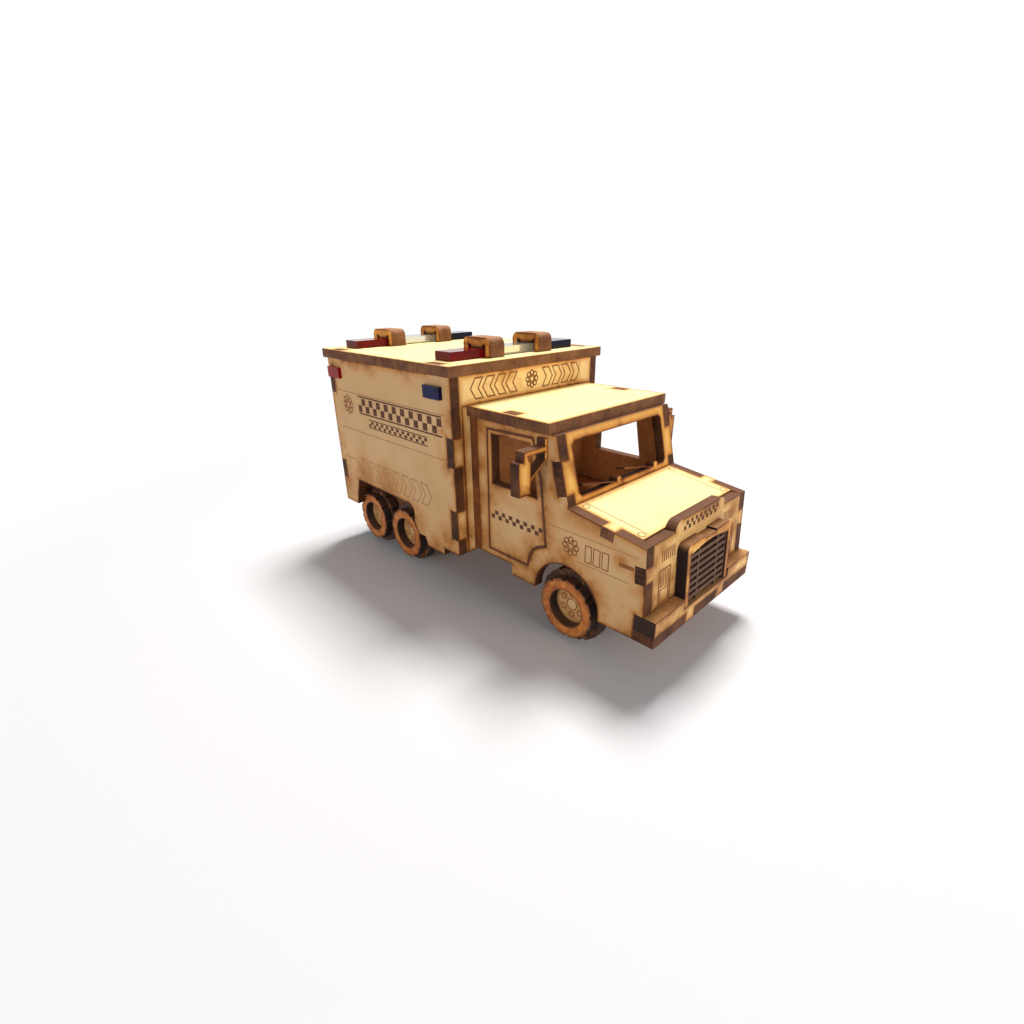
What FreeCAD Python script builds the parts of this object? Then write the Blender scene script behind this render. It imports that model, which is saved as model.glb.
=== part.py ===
"""A tabletop model ambulance, laser cut from 3 mm wood sheet with coloured acrylic lamps.

The kit is flat panels that lock together with fingers: a square rear box of a roof, a floor and four
walls, a hollow cab with cut windows, a sloping hood and nose with a slotted grille, two light bars,
and six lobed wheels on three dowel axles that turn in bearer plates under the floors.

All sizes are millimetres. +X points forwards, +Y to the left, +Z up. Lengths along X are first
measured from the outer face of the box's front wall, and heights from a level AXLE_Z below the axles.
At the end everything is moved so that the origin lies at the bottom centre of the whole model.
"""
import FreeCAD, Part
import math
import os

from FreeCAD import Vector

# Sheet stock and fits
SHEET = 3.0              # thickness of every wood panel
LAMP_SHEET = 2.7         # thickness of the acrylic lamp strips
SEAT_GAP = 0.05          # slip all round a loose insert
RUN_GAP = 0.08           # radial clearance of an axle in its bearer

# Wheels and axles
AXLE_Z = 9.1             # above the level that heights are measured from
WHEEL_R = 11.2           # over the lobes of the core, which stands on the table
RING_R = 9.3             # over the lobes of the outer ring
LOBE_DEPTH = 0.8
LOBE_COUNT = 12
LOBE_CREST = 0.62        # share of one lobe's pitch that is crest
CORE_LAYERS = 1          # sheets glued up behind the outer ring
HUB_HOLE_R = 5.8         # window in the outer ring
AXLE_R = 1.5
FRONT_AXLE_X = 38.6
REAR_AXLE_INSET = 13.6   # from the box's rear end
REAR_WHEEL_GAP = 0.6     # between the two wheels under the box
FRONT_WHEEL_INSET = 0.3  # outer face inside the cab side's outer face
REAR_WHEEL_INSET = 0.5   # outer face inside the box side's inner face
WHEEL_SIDE_PLAY = 0.5    # between a wheel and the bearer beside it

# Rear box
BOX_LENGTH = 73.0
BOX_WIDTH = 67.0
BOX_BOTTOM = 14.3
BOX_TOP = 70.7           # underside of the roof
ROOF_LIP = 1.1           # overhang of both roofs
BOX_FRONT_FINGERS = ((19.4, 29.5), (43.6, 52.9))   # heights where the front wall reaches through
BOX_REAR_FINGERS = ((24.0, 31.5), (58.0, 67.4))    # heights where the rear wall reaches through
ROOF_TONGUE_LENGTH = 7.1
ROOF_TONGUE_INSET = 4.2  # from the box's end to its roof tongue

# Arch over the rear wheels, and the foot in front of it
ARCH_TOP = 25.2
ARCH_REAR_RUN = 1.6      # from the rear axle back to the arch's rear top corner
ARCH_REAR_FOOT_RUN = 4.9 # from the rear axle back to the arch's rear foot
ARCH_WHEEL_GAP = 1.3     # between the foremost wheel and the arch's front edge
ARCH_CORNER_R = 2.6
ARCH_WAIST_Z = 18.5
ARCH_LEDGE_Z = 15.2
ARCH_LEDGE = (0.08, 0.24)     # shares of the panel's length ahead of the arch
FOOT = (0.30, 0.67)           # shares of the panel's length ahead of the arch
FOOT_BOTTOM = 11.9

# Cab
CAB_WIDTH = 53.4
CAB_ROOF_TOP = 61.9
CAB_ROOF_FRONT_X = 32.6
CAB_ROOF_TONGUE_X = (14.5, 19.4)
CAB_STEP_X = 17.2
CAB_STEP_Z = 15.3
CAB_BOTTOM_REAR = 11.7
CAB_BOTTOM_FRONT = 10.5
CAB_ARCH_X = 38.6
CAB_ARCH_Z = 11.5
CAB_ARCH_R = 11.5
WINDOW_REAR_X = 9.4
WINDOW_SILL_Z = 39.9
WINDOW_HEAD_Z = 55.0
WINDOW_SILL_FRONT_X = 27.6
WINDOW_HEAD_FRONT_X = 24.8

# Outer corners of the windscreen, hood and nose, as (x, z)
SCREEN_TOP_X = 34.3
SCREEN_FOOT = (38.8, 40.3)
HOOD_FRONT = (62.8, 36.9)
NOSE_FOOT = (63.9, 18.2)
SCREEN_POST = 5.2        # from the cab's outer side to the opening
SCREEN_RAIL_TOP = 2.4    # above the opening, along the slope
SCREEN_RAIL_FOOT = 1.8
SCREEN_CORNER_R = 1.2
SCREEN_FINGER = (3.0, 12.5)   # up the slope from the screen's foot
WIPER_HUBS = (-0.155, 0.745)  # places across, as shares of half the opening
WIPER_REACH = (0.10, 0.76)    # arm's root and tip beyond its hub, as shares of half the opening
WIPER_HUB_R = 1.15
WIPER_RISE = 2.5              # of the arm's tip above the lower rail
WIPER_WIDTH = 0.55
HOOD_FINGER = (10.9, 15.1)    # down the slope from the windscreen
NOSE_FINGER = (5.2, 10.0)     # down the slope from the nose's top edge
CROWN_HALF = 13.7        # raised crown in the middle of the nose
CROWN_RISE = 2.4
CROWN_SHOULDER = 4.0     # width of each rounded shoulder

# Bumper and the plate beneath it
BUMPER_REAR_X = 61.2
BUMPER_BOTTOM = 13.5
LUG_Y = (6.25, 11.0)     # two lugs of the front layer, let into the plate
FRONT_PLATE_REAR_X = 52.6

# Grille
GRILLE_HALF = 12.2
GRILLE_FOOT_Z = 15.6     # it stands in a notch in the bumper's front layer
GRILLE_TOP = 33.3
GRILLE_CORNER_R = 2.2
GRILLE_RAIL = 2.0
GRILLE_HEAD = 1.8        # from the opening's crest up to the frame's top
GRILLE_ARCH_RISE = 1.25  # of the opening's arched head
GRILLE_DIP_HALF = 3.1    # shallow dip in the middle of the head
GRILLE_DIP = 0.6
LOUVRE_RECESS = 0.4      # front of the louvres behind the frame's front
LOUVRE_COUNT = 8
LOUVRE_FIRST = 0.3       # height of the lowest slot's middle, as a share of the slots' pitch
LOUVRE_GAP = 0.95        # height of each slot
LOUVRE_RIM = 0.5         # wood left beside the slots and above them
LOUVRE_POST_Y = 5.25     # two upright posts that divide every slot
LOUVRE_POST_WIDTH = 0.7

# Mirrors: outwards from the cab side, and heights
MIRROR_FRONT_X = 31.3
MIRROR_OUT = 10.8
MIRROR_STEP = 1.8
MIRROR_HEAD = 1.6        # width of the blade above its step
MIRROR_BLADE = 4.4       # width of the blade below its step
MIRROR_ROOT = 1.1        # width of the strip against the cab side
MIRROR_STRUT = 0.86      # upright depth of the strut under the opening
MIRROR_LEDGE = 0.8       # from the blade's step down to its inner corner
MIRROR_BOTTOM = 44.0
MIRROR_NECK_Z = 47.6
MIRROR_ROOT_FOOT_Z = 52.1
MIRROR_STEP_Z = 53.1
MIRROR_ARM_Z = (54.4, 55.8)
MIRROR_TOP = 57.7

# Light bars
BAR_INSETS = (10.6, 7.8) # from the box's front and rear end to the middle of each bar
BRACKET_LENGTH = 12.7
BRACKET_LAYERS = 2
BRACKET_RISE = 5.9
BRACKET_CORNER_R = 2.2
BRACKET_Y = 11.0
BAR_LAMP_DEPTH = 7.6
BAR_END_INSET = 6.2      # from the box side to the end of each bar
BRACKET_NICK = (1.3, 1.0)     # width and rise of the nicks at the mouth's top corners

# Side marker lamps
MARKER_LENGTH = 8.0
MARKER_HEIGHT = 3.8
MARKER_PROUD = 1.2
MARKER_TOP = 67.6
MARKER_FRONT_INSET = 3.9 # from the box's front end to the blue lamp
MARKER_REAR_INSET = 1.2  # from the box's rear end to the red lamp

# Floors and axle bearers
FLOOR_Z = 25.5           # underside of both floors
CAB_FLOOR_FRONT_X = 56.0
BEARER_HALF = 6.0        # reach of a bearer before and behind its axle
BEARER_LIP = 3.0         # wood below the bore

# Sizes that follow from the ones above
HALF_BOX = BOX_WIDTH / 2
HALF_CAB = CAB_WIDTH / 2
BOX_INNER = HALF_BOX - SHEET
CAB_INNER = HALF_CAB - SHEET
BAR_END_Y = HALF_BOX - BAR_END_INSET
ROOF_TOP = BOX_TOP + SHEET
BAR_X = (-BAR_INSETS[0], BAR_INSETS[1] - BOX_LENGTH)
REAR_AXLE_X = REAR_AXLE_INSET - BOX_LENGTH
MIDDLE_AXLE_X = REAR_AXLE_X + 2 * WHEEL_R + REAR_WHEEL_GAP
ARCH_FRONT_X = MIDDLE_AXLE_X + WHEEL_R + ARCH_WHEEL_GAP
SCREEN_OPENING_HALF = HALF_CAB - SCREEN_POST
CAB_TOP = CAB_ROOF_TOP - SHEET
FRONT_REACH = BUMPER_REAR_X + 2 * SHEET
REAR_REACH = -BOX_LENGTH - ROOF_LIP
SHIFT = Vector(-(FRONT_REACH + REAR_REACH) / 2, 0, WHEEL_R - AXLE_Z)
ACROSS = Vector(0, 1, 0)
WHEEL_THICKNESS = (1 + CORE_LAYERS) * SHEET


def slab(x0, x1, y0, y1, z0, z1):
    """A rectangular blank between two opposite corners."""
    return Part.makeBox(x1 - x0, y1 - y0, z1 - z0, Vector(x0, y0, z0))


def plate(points, thickness):
    """A flat panel: an outline of points, in order round one face, run along a vector."""
    return Part.Face(Part.makePolygon(points + points[:1])).extrude(thickness)


def side_plate(points, y0, y1):
    """A panel standing fore and aft, from (x, z) points."""
    return plate([Vector(x, y0, z) for x, z in points], Vector(0, y1 - y0, 0))


def cross_plate(points, x0, x1):
    """A panel standing across the model, from (y, z) points."""
    return plate([Vector(x0, y, z) for y, z in points], Vector(x1 - x0, 0, 0))


def rod(x, z, radius, y0, y1):
    """A cylinder across the model, such as an axle or the bore for one."""
    return Part.makeCylinder(radius, y1 - y0, Vector(x, y0, z), ACROSS)


def mirrored(solid):
    """The left-hand twin of a right-hand piece."""
    return solid.mirror(Vector(0, 0, 0), ACROSS)


def both_sides(solid):
    return [solid, mirrored(solid)]


def one(shape):
    """The single solid inside a boolean result."""
    shape = shape.removeSplitter()
    if len(shape.Solids) != 1:
        raise ValueError("expected one solid, found %d" % len(shape.Solids))
    return shape.Solids[0]


def near(value, target):
    """True for two coordinates that are the same but for rounding."""
    return abs(value - target) < 1e-6


def runs_along(edge, direction):
    """True for a straight edge parallel to a unit vector."""
    if len(edge.Vertexes) != 2 or edge.Curve.TypeId != "Part::GeomLine":
        return False
    return near(abs(edge.tangentAt(edge.FirstParameter).dot(direction)), 1)


def save(name, solids):
    """Write the solids of one piece, moved to the model's own origin."""
    moved = [solid.translated(SHIFT) for solid in solids]
    shape = moved[0] if len(moved) == 1 else Part.makeCompound(moved)
    if not shape.isValid():
        raise ValueError(name + " is not valid")
    shape.exportStep("parts/%s.step" % name)
    print(name, "solids:", len(solids), "volume:", round(shape.Volume, 1))


# Rear box

def box_roof_tongues():
    """Tongues on top of a box side that come up through the roof, near both ends."""
    first = -ROOF_TONGUE_INSET - ROOF_TONGUE_LENGTH
    last = ROOF_TONGUE_INSET - BOX_LENGTH
    return [slab(x, x + ROOF_TONGUE_LENGTH, -HALF_BOX, -BOX_INNER, BOX_TOP, ROOF_TOP)
            for x in (first, last)]


def box_wall(rear_x, fingers):
    """A wall across the box whose fingers reach through both sides."""
    front_x = rear_x + SHEET
    wall = slab(rear_x, front_x, -BOX_INNER, BOX_INNER, BOX_BOTTOM, BOX_TOP)
    for low, high in fingers:
        wall = wall.fuse(slab(rear_x, front_x, -HALF_BOX, HALF_BOX, low, high))
    return one(wall)


def box_side(walls):
    """The right side: an arch over two wheels, a foot in front of it, and slots for the walls."""
    ledge = [ARCH_FRONT_X * (1 - share) for share in ARCH_LEDGE]
    foot = [ARCH_FRONT_X * (1 - share) for share in FOOT]
    outline = [(0, BOX_TOP), (-BOX_LENGTH, BOX_TOP), (-BOX_LENGTH, BOX_BOTTOM),
               (REAR_AXLE_X - ARCH_REAR_FOOT_RUN, BOX_BOTTOM), (REAR_AXLE_X - ARCH_REAR_RUN, ARCH_TOP),
               (ARCH_FRONT_X, ARCH_TOP), (ARCH_FRONT_X, ARCH_WAIST_Z),
               (ledge[0], ARCH_LEDGE_Z), (ledge[1], ARCH_LEDGE_Z),
               (foot[0], FOOT_BOTTOM), (foot[1], FOOT_BOTTOM), (foot[1], BOX_BOTTOM), (0, BOX_BOTTOM)]
    side = side_plate(outline, -HALF_BOX, -BOX_INNER)
    corner = [edge for edge in side.Edges if runs_along(edge, ACROSS)
              and near(edge.Vertexes[0].X, ARCH_FRONT_X) and near(edge.Vertexes[0].Z, ARCH_TOP)]
    side = side.makeFillet(ARCH_CORNER_R, corner)
    for tongue in box_roof_tongues():
        side = side.fuse(tongue)
    for wall in walls:
        side = side.cut(wall)
    return one(side)


def box_roof():
    roof = slab(REAR_REACH, ROOF_LIP, -HALF_BOX - ROOF_LIP, HALF_BOX + ROOF_LIP, BOX_TOP, ROOF_TOP)
    for tongue in box_roof_tongues():
        roof = roof.cut(tongue).cut(mirrored(tongue))
    return one(roof)


def marker_lamp(rear_x):
    """A marker lamp on the right side of the box."""
    return slab(rear_x, rear_x + MARKER_LENGTH, -HALF_BOX - MARKER_PROUD, -HALF_BOX,
                MARKER_TOP - MARKER_HEIGHT, MARKER_TOP)


def make_box():
    front_wall = box_wall(-SHEET, BOX_FRONT_FINGERS)
    rear_wall = box_wall(-BOX_LENGTH, BOX_REAR_FINGERS)
    right, left = both_sides(box_side([front_wall, rear_wall]))
    save("box_side_right", [right])
    save("box_side_left", [left])
    save("box_front_wall", [front_wall])
    save("box_rear_wall", [rear_wall])
    save("box_roof", [box_roof()])
    floor = slab(SHEET - BOX_LENGTH, -SHEET, -BOX_INNER, BOX_INNER, FLOOR_Z, FLOOR_Z + SHEET)
    save("box_floor", [floor])
    save("marker_lamps_blue", both_sides(marker_lamp(-MARKER_FRONT_INSET - MARKER_LENGTH)))
    save("marker_lamps_red", both_sides(marker_lamp(MARKER_REAR_INSET - BOX_LENGTH)))


# Cab

class Slope:
    """The outer face of a panel that runs down from one (x, z) point to another, across the cab."""

    def __init__(self, upper, lower):
        self.start = Vector(upper[0], 0, upper[1])
        run = Vector(lower[0], 0, lower[1]) - self.start
        self.length = run.Length
        self.down = run / self.length
        self.inward = Vector(self.down.z, 0, -self.down.x)

    def at(self, distance, y=0):
        """A point on the outer face, at a distance down the slope."""
        return self.start + self.down * distance + Vector(0, y, 0)

    def strip(self, first, last, half, depth=SHEET):
        """A strip between two distances down the slope, as wide as given each side of the middle."""
        corners = [self.at(first, -half), self.at(first, half), self.at(last, half), self.at(last, -half)]
        return plate(corners, self.inward * depth)

    def panel(self, finger):
        """The whole panel between the cab sides, with one finger out through each of them."""
        return self.strip(0, self.length, CAB_INNER).fuse(self.strip(finger[0], finger[1], HALF_CAB))


def windscreen_slope():
    """The windscreen's slope, carried up to the underside of the cab roof."""
    lean = (SCREEN_FOOT[0] - SCREEN_TOP_X) / (CAB_TOP - SCREEN_FOOT[1])
    over = SHEET * lean
    return Slope((SCREEN_TOP_X - over * lean, CAB_TOP + over), SCREEN_FOOT)


def wiper(slope, hub_y):
    """A wiper left standing on the lower rail: a half round hub, and a thin arm that rises to the right."""
    rail = slope.length - SCREEN_RAIL_FOOT
    root, tip = [hub_y - reach * SCREEN_OPENING_HALF for reach in WIPER_REACH]
    arm = plate([slope.at(rail, root + WIPER_WIDTH), slope.at(rail, root - WIPER_WIDTH),
                 slope.at(rail - WIPER_RISE, tip), slope.at(rail - WIPER_RISE - WIPER_WIDTH, tip)],
                slope.inward * SHEET)
    hub = Part.makeCylinder(WIPER_HUB_R, SHEET, slope.at(rail, hub_y), slope.inward)
    return [arm, hub]


def windscreen_frame():
    """A panel with a large opening, on whose lower rail two wipers are left standing."""
    slope = windscreen_slope()
    finger = (slope.length - SCREEN_FINGER[1], slope.length - SCREEN_FINGER[0])
    head = slope.length - (CAB_TOP - SCREEN_FOOT[1]) / -slope.down.z
    first = head + SCREEN_RAIL_TOP
    opening = slope.strip(first, slope.length - SCREEN_RAIL_FOOT, SCREEN_OPENING_HALF)
    corners = [edge for edge in opening.Edges if runs_along(edge, slope.inward)]
    opening = opening.makeFillet(SCREEN_CORNER_R, corners)
    above_sides = slab(0, FRONT_REACH, -HALF_CAB, HALF_CAB, CAB_TOP, ROOF_TOP)
    frame = slope.panel(finger).cut(opening).cut(above_sides)
    for place in WIPER_HUBS:
        for solid in wiper(slope, place * SCREEN_OPENING_HALF):
            frame = frame.fuse(solid)
    return one(frame)


def crown(slope):
    """The rounded crown that stands up from the middle of the nose's top edge."""
    top_half = CROWN_HALF - CROWN_SHOULDER
    bend_y = top_half + CROWN_SHOULDER * math.sin(math.pi / 4)
    bend_rise = CROWN_RISE * math.cos(math.pi / 4)
    ends = [slope.at(0, -CROWN_HALF), slope.at(0, CROWN_HALF)]
    root = [slope.at(SHEET, CROWN_HALF), slope.at(SHEET, -CROWN_HALF)]
    top = [slope.at(-CROWN_RISE, -top_half), slope.at(-CROWN_RISE, top_half)]
    bends = [slope.at(-bend_rise, -bend_y), slope.at(-bend_rise, bend_y)]
    edges = [Part.Arc(ends[0], bends[0], top[0]), Part.LineSegment(top[0], top[1]),
             Part.Arc(top[1], bends[1], ends[1]), Part.LineSegment(ends[1], root[0]),
             Part.LineSegment(root[0], root[1]), Part.LineSegment(root[1], ends[0])]
    wire = Part.Wire([edge.toShape() for edge in edges])
    return Part.Face(wire).extrude(slope.inward * SHEET)


def cab_side(crossing):
    """The right side: a step, a round wheel arch, a window, and slots for the panels that cross it."""
    outline = [(SHEET, CAB_TOP), (SHEET, CAB_STEP_Z), (CAB_STEP_X, CAB_STEP_Z),
               (CAB_STEP_X, CAB_BOTTOM_REAR), (CAB_ARCH_X, CAB_BOTTOM_REAR),
               (CAB_ARCH_X, CAB_BOTTOM_FRONT), (BUMPER_REAR_X, CAB_BOTTOM_FRONT),
               (BUMPER_REAR_X, NOSE_FOOT[1]), NOSE_FOOT, HOOD_FRONT, SCREEN_FOOT,
               (SCREEN_TOP_X, CAB_TOP)]
    window = [(WINDOW_REAR_X, WINDOW_SILL_Z), (WINDOW_SILL_FRONT_X, WINDOW_SILL_Z),
              (WINDOW_HEAD_FRONT_X, WINDOW_HEAD_Z), (WINDOW_REAR_X, WINDOW_HEAD_Z)]
    side = side_plate(outline, -HALF_CAB, -CAB_INNER).fuse(cab_roof_tongue())
    side = side.cut(rod(CAB_ARCH_X, CAB_ARCH_Z, CAB_ARCH_R, -HALF_CAB, -CAB_INNER))
    side = side.cut(side_plate(window, -HALF_CAB, -CAB_INNER))
    for panel in crossing:
        side = side.cut(panel)
    return one(side)


def cab_roof_tongue():
    rear, front = CAB_ROOF_TONGUE_X
    return slab(rear, front, -HALF_CAB, -CAB_INNER, CAB_TOP, CAB_ROOF_TOP)


def mirror_plate():
    """One mirror, a flat plate across the cab: a root, a level arm, and a stepped blade hanging from it.

    A thin strut braces the blade, and leaves a three-cornered opening between blade, arm and root.
    """
    tip = -HALF_CAB - MIRROR_OUT
    root = -HALF_CAB - MIRROR_ROOT
    head = tip + MIRROR_STEP
    blade = tip + MIRROR_BLADE
    arm_foot, arm_top = MIRROR_ARM_Z
    outline = [(-HALF_CAB, MIRROR_TOP), (root, MIRROR_TOP), (root, arm_top), (head, arm_top),
               (head, MIRROR_STEP_Z), (tip, MIRROR_STEP_Z), (tip, MIRROR_BOTTOM), (blade, MIRROR_BOTTOM),
               (blade, MIRROR_NECK_Z), (-HALF_CAB, MIRROR_ROOT_FOOT_Z)]
    slope = (MIRROR_ROOT_FOOT_Z - MIRROR_NECK_Z) / (-HALF_CAB - blade)
    root_low = MIRROR_ROOT_FOOT_Z - MIRROR_ROOT * slope + MIRROR_STRUT
    inner = head + MIRROR_HEAD
    opening = [(root, arm_foot), (inner, arm_foot), (inner, MIRROR_STEP_Z),
               (blade, MIRROR_STEP_Z - MIRROR_LEDGE), (blade, MIRROR_NECK_Z + MIRROR_STRUT),
               (root, root_low)]
    rear_x = MIRROR_FRONT_X - SHEET
    hole = cross_plate(opening, rear_x, MIRROR_FRONT_X)
    return one(cross_plate(outline, rear_x, MIRROR_FRONT_X).cut(hole))


# Grille and nose

class Nose:
    """The leaning nose: its slope, and shapes cut upright and then leaned against it."""

    def __init__(self):
        self.slope = Slope(HOOD_FRONT, NOSE_FOOT)
        self.lean = math.degrees(math.atan2(self.slope.down.x, -self.slope.down.z))
        self.foot = Vector(NOSE_FOOT[0], 0, NOSE_FOOT[1])
        self.below = slab(0, BUMPER_REAR_X + SHEET, -HALF_CAB, HALF_CAB, 0, NOSE_FOOT[1])

    def arch(self, half, top, corner, first, last):
        """An upright block with round top corners, between two depths from the nose's outer face."""
        bottom = GRILLE_FOOT_Z - SHEET
        blank = slab(NOSE_FOOT[0] + first, NOSE_FOOT[0] + last, -half, half, bottom, top)
        round_ones = [edge for edge in blank.Edges if runs_along(edge, Vector(1, 0, 0))
                      and edge.Vertexes[0].Z > top - 1e-6]
        return blank.makeFillet(corner, round_ones)

    def opening(self, slack, first, last):
        """The grille's opening as an upright block with an arched head, smaller by some slack all round."""
        half = GRILLE_HALF - GRILLE_RAIL - slack
        crest = GRILLE_TOP - GRILLE_HEAD - slack
        outline = [(-half, GRILLE_FOOT_Z - SHEET), (-half, crest - GRILLE_ARCH_RISE), (0, crest),
                   (half, crest - GRILLE_ARCH_RISE), (half, GRILLE_FOOT_Z - SHEET)]
        foot_right, right, middle, left, foot_left = [
            Vector(NOSE_FOOT[0] + first, y, z) for y, z in outline]
        edges = [Part.LineSegment(foot_right, right), Part.Arc(right, middle, left),
                 Part.LineSegment(left, foot_left), Part.LineSegment(foot_left, foot_right)]
        wire = Part.Wire([edge.toShape() for edge in edges])
        return Part.Face(wire).extrude(Vector(last - first, 0, 0))

    def leaned(self, shape):
        """The shape turned about the nose's foot, and trimmed to stand in the bumper's notch."""
        turned = shape.copy()
        turned.rotate(self.foot, ACROSS, -self.lean)
        under = slab(0, FRONT_REACH + SHEET, -HALF_CAB, HALF_CAB, 0, GRILLE_FOOT_Z)
        return one(turned.cut(self.below).cut(under))

    def frame(self):
        whole = self.arch(GRILLE_HALF, GRILLE_TOP, GRILLE_CORNER_R, 0, SHEET)
        dip = slab(NOSE_FOOT[0], FRONT_REACH + SHEET, -GRILLE_DIP_HALF, GRILLE_DIP_HALF,
                   GRILLE_TOP - GRILLE_DIP, GRILLE_TOP)
        return self.leaned(whole.cut(self.opening(0, 0, SHEET)).cut(dip))

    def louvres(self):
        """The insert in the frame's opening: level slots, each divided by two upright posts.

        The lowest slot is open below, and the highest follows the arched head.
        """
        front = SHEET - LOUVRE_RECESS
        insert = self.opening(SEAT_GAP, front - SHEET, front)
        slotted = self.opening(SEAT_GAP + LOUVRE_RIM, front - SHEET, front)
        inner, outer = [LOUVRE_POST_Y + side * LOUVRE_POST_WIDTH / 2 for side in (-1, 1)]
        crest = GRILLE_TOP - GRILLE_HEAD
        pitch = (crest - GRILLE_FOOT_Z) / LOUVRE_COUNT
        for number in range(LOUVRE_COUNT):
            middle = GRILLE_FOOT_Z + (number + LOUVRE_FIRST) * pitch
            low, high = middle - LOUVRE_GAP / 2, middle + LOUVRE_GAP / 2
            if number == 0:
                low = GRILLE_FOOT_Z - SHEET
            if number == LOUVRE_COUNT - 1:
                high = crest
            for right, left in ((-GRILLE_HALF, -outer), (-inner, inner), (outer, GRILLE_HALF)):
                slot = slab(NOSE_FOOT[0] - SHEET, FRONT_REACH, right, left, low, high)
                insert = insert.cut(slot.common(slotted))
        return self.leaned(insert)

    def panel(self):
        hole = self.opening(0, -SHEET, 0)
        hole.rotate(self.foot, ACROSS, -self.lean)
        whole = self.slope.panel(NOSE_FINGER).fuse(crown(self.slope))
        return one(whole.cut(hole).cut(self.below))


def make_cab():
    nose = Nose()
    nose_panel = nose.panel()
    nose_edge = nose.slope.strip(-SHEET, SHEET, HALF_CAB)
    hood = one(Slope(SCREEN_FOOT, HOOD_FRONT).panel(HOOD_FINGER).cut(nose_edge))
    screen = one(windscreen_frame().cut(hood))
    right, left = both_sides(cab_side([screen, hood, nose_panel]))
    roof = slab(0, CAB_ROOF_FRONT_X, -HALF_CAB - ROOF_LIP, HALF_CAB + ROOF_LIP, CAB_TOP, CAB_ROOF_TOP)
    for tongue in both_sides(cab_roof_tongue()):
        roof = roof.cut(tongue)
    save("cab_side_right", [right])
    save("cab_side_left", [left])
    save("cab_back_wall", [slab(0, SHEET, -HALF_CAB, HALF_CAB, CAB_STEP_Z, CAB_TOP)])
    save("cab_roof", [one(roof)])
    floor = slab(SHEET, CAB_FLOOR_FRONT_X, -CAB_INNER, CAB_INNER, FLOOR_Z, FLOOR_Z + SHEET)
    save("cab_floor", [floor])
    save("windscreen_frame", [screen])
    save("hood_panel", [hood])
    save("nose_panel", [nose_panel])
    save("grille_frame", [nose.frame()])
    save("grille_louvres", [nose.louvres()])
    mirror_right, mirror_left = both_sides(mirror_plate())
    save("mirror_right", [mirror_right])
    save("mirror_left", [mirror_left])


# Bumper

def make_bumper():
    """Two layers under the nose. The front one has a notch for the grille, and lugs let into the plate."""
    middle_x = BUMPER_REAR_X + SHEET
    top = NOSE_FOOT[1]
    plate_bottom = BUMPER_BOTTOM - SHEET
    rear = slab(BUMPER_REAR_X, middle_x, -HALF_CAB, HALF_CAB, BUMPER_BOTTOM, top)
    front = slab(middle_x, FRONT_REACH, -HALF_CAB, HALF_CAB, BUMPER_BOTTOM, top)
    tail = slab(FRONT_PLATE_REAR_X, BUMPER_REAR_X, -CAB_INNER, CAB_INNER, plate_bottom, BUMPER_BOTTOM)
    beneath = slab(BUMPER_REAR_X, FRONT_REACH, -HALF_CAB, HALF_CAB, plate_bottom, BUMPER_BOTTOM)
    beneath = beneath.fuse(tail)
    right_lug = slab(middle_x, FRONT_REACH, -LUG_Y[1], -LUG_Y[0], plate_bottom, BUMPER_BOTTOM)
    for lug in both_sides(right_lug):
        front = front.fuse(lug)
        beneath = beneath.cut(lug)
    front = front.cut(slab(middle_x, FRONT_REACH, -GRILLE_HALF, GRILLE_HALF, GRILLE_FOOT_Z, top))
    save("bumper_rear_layer", [rear])
    save("bumper_front_layer", [one(front)])
    save("front_plate", [one(beneath)])


# Light bars

def bracket(x, y):
    """An arched bracket over the lamp strip, with a nick in each top corner of its mouth."""
    half_thick = BRACKET_LAYERS * SHEET / 2
    half_mouth = BAR_LAMP_DEPTH / 2 + SEAT_GAP
    mouth_top = ROOF_TOP + LAMP_SHEET + SEAT_GAP
    blank = slab(x - BRACKET_LENGTH / 2, x + BRACKET_LENGTH / 2, y - half_thick, y + half_thick,
                 ROOF_TOP, ROOF_TOP + BRACKET_RISE)
    shoulders = [edge for edge in blank.Edges if runs_along(edge, ACROSS)
                 and edge.Vertexes[0].Z > ROOF_TOP + BRACKET_RISE / 2]
    blank = blank.makeFillet(BRACKET_CORNER_R, shoulders)
    mouth = slab(x - half_mouth, x + half_mouth, y - half_thick, y + half_thick, ROOF_TOP, mouth_top)
    blank = blank.cut(mouth)
    for inner, outer in ((x - half_mouth, x - half_mouth + BRACKET_NICK[0]),
                         (x + half_mouth - BRACKET_NICK[0], x + half_mouth)):
        nick = slab(inner, outer, y - half_thick, y + half_thick, ROOF_TOP, mouth_top + BRACKET_NICK[1])
        blank = blank.cut(nick)
    return one(blank)


def make_light_bar(name, x):
    """One bar: a red, a clear and a blue strip in line, meeting inside two brackets."""
    save(name + "_bar_brackets", both_sides(bracket(x, -BRACKET_Y)))
    half_deep = BAR_LAMP_DEPTH / 2
    spans = {"red": (-BAR_END_Y, -BRACKET_Y), "clear": (-BRACKET_Y, BRACKET_Y),
             "blue": (BRACKET_Y, BAR_END_Y)}
    for colour, (first, last) in spans.items():
        strip = slab(x - half_deep, x + half_deep, first, last, ROOF_TOP, ROOF_TOP + LAMP_SHEET)
        save("%s_bar_lamp_%s" % (name, colour), [strip])


# Wheels and what carries them

def lobed_disc(x, reach, y0, thickness, turn):
    """A wheel layer: a disc with evenly spaced lobes, turned by a share of one lobe's pitch.

    Each lobe has two corners at full reach, and straight flanks fall from them into the notches.
    """
    outline = []
    for lobe in range(LOBE_COUNT):
        for radius, share in ((reach, 0), (reach, LOBE_CREST), (reach - LOBE_DEPTH, (1 + LOBE_CREST) / 2)):
            angle = 2 * math.pi * (lobe + share + turn) / LOBE_COUNT
            outline.append((x + radius * math.sin(angle), AXLE_Z + radius * math.cos(angle)))
    return side_plate(outline, y0, y0 + thickness)


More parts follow.
